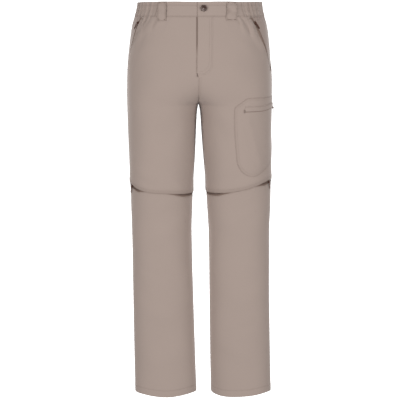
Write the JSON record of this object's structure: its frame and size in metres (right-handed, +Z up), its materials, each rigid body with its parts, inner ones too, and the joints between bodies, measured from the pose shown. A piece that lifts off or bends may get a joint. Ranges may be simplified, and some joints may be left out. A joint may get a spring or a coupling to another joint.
{
  "type": "convertible zip-off trousers",
  "caption": "Hollow worn-form hiking trousers with an elasticated waist, belt loops, slanted zip pockets, a thigh cargo pocket and a zip round each knee that frees the lower legs.",
  "frame": {"origin": "middle of the waistband ring, half way up the band, where the wearer's waist holds the garment", "axes": "+Z up, +X to the wearer's left, +Y to the wearer's back"},
  "size_m": [0.3979, 0.2744, 1.0829],
  "materials": {
    "shell": "matt plain-woven nylon, soft creases",
    "zip_tape": "woven tape with a moulded coil",
    "pull_metal": "dark brown enamel, satin",
    "button_metal": "dark brown enamel with a worn bright rim"
  },
  "bodies": {
    "garment": {"front_panel_right": "shell", "front_panel_left": "shell", "back_panel_right": "shell", "back_panel_left": "shell", "lower_leg_front_right": "shell", "lower_leg_front_left": "shell", "lower_leg_back_right": "shell", "lower_leg_back_left": "shell", "knee_zip_right": "zip_tape", "knee_zip_left": "zip_tape", "waistband_front_right": "shell", "waistband_front_left": "shell", "waistband_back": "shell", "waistband_side_right": "shell", "waistband_side_left": "shell", "belt_loop_front_right": "shell", "belt_loop_front_left": "shell", "belt_loop_back_right": "shell", "belt_loop_back_left": "shell", "belt_loop_centre_back": "shell", "fly_placket": "shell", "fly_zip": "zip_tape", "waist_button": "button_metal", "pocket_facing_right": "shell", "pocket_facing_left": "shell", "pocket_zip_right": "zip_tape", "pocket_zip_left": "zip_tape", "cargo_pocket": "shell", "cargo_zip": "zip_tape", "cargo_welt": "shell", "hand_pocket_right_slider": "pull_metal", "hand_pocket_left_slider": "pull_metal", "knee_right_slider": "pull_metal", "knee_left_slider": "pull_metal", "cargo_slider": "pull_metal"},
    "hand_pull_right": {"hand_pocket_right_tab": "pull_metal"},
    "hand_pull_left": {"hand_pocket_left_tab": "pull_metal"},
    "knee_pull_right": {"knee_right_tab": "pull_metal"},
    "knee_pull_left": {"knee_left_tab": "pull_metal"},
    "cargo_pull": {"cargo_tab": "pull_metal"}
  },
  "joints": [
    {"name": "hand_pull_right_swing", "type": "hinge", "parent": "garment", "child": "hand_pull_right", "pos_m": [-0.16297, -0.06226, -0.03345], "axis": [-0.3839, 0.8115, 0.4406], "range_deg": [0, 110]},
    {"name": "hand_pull_left_swing", "type": "hinge", "parent": "garment", "child": "hand_pull_left", "pos_m": [0.14645, -0.08171, -0.03352], "axis": [-0.518, -0.6483, -0.558], "range_deg": [0, 110]},
    {"name": "knee_pull_right_swing", "type": "hinge", "parent": "garment", "child": "knee_pull_right", "pos_m": [-0.18408, -0.04002, -0.47115], "axis": [-0.448, 0.8592, 0.2473], "range_deg": [0, 95]},
    {"name": "knee_pull_left_swing", "type": "hinge", "parent": "garment", "child": "knee_pull_left", "pos_m": [0.1894, -0.04113, -0.45853], "axis": [-0.4687, -0.8778, -0.0995], "range_deg": [0, 95]},
    {"name": "cargo_pull_swing", "type": "hinge", "parent": "garment", "child": "cargo_pull", "pos_m": [0.20097, 0.01849, -0.26235], "axis": [0.0569, -0.9984, 0.0031], "range_deg": [0, 100]}
  ]
}
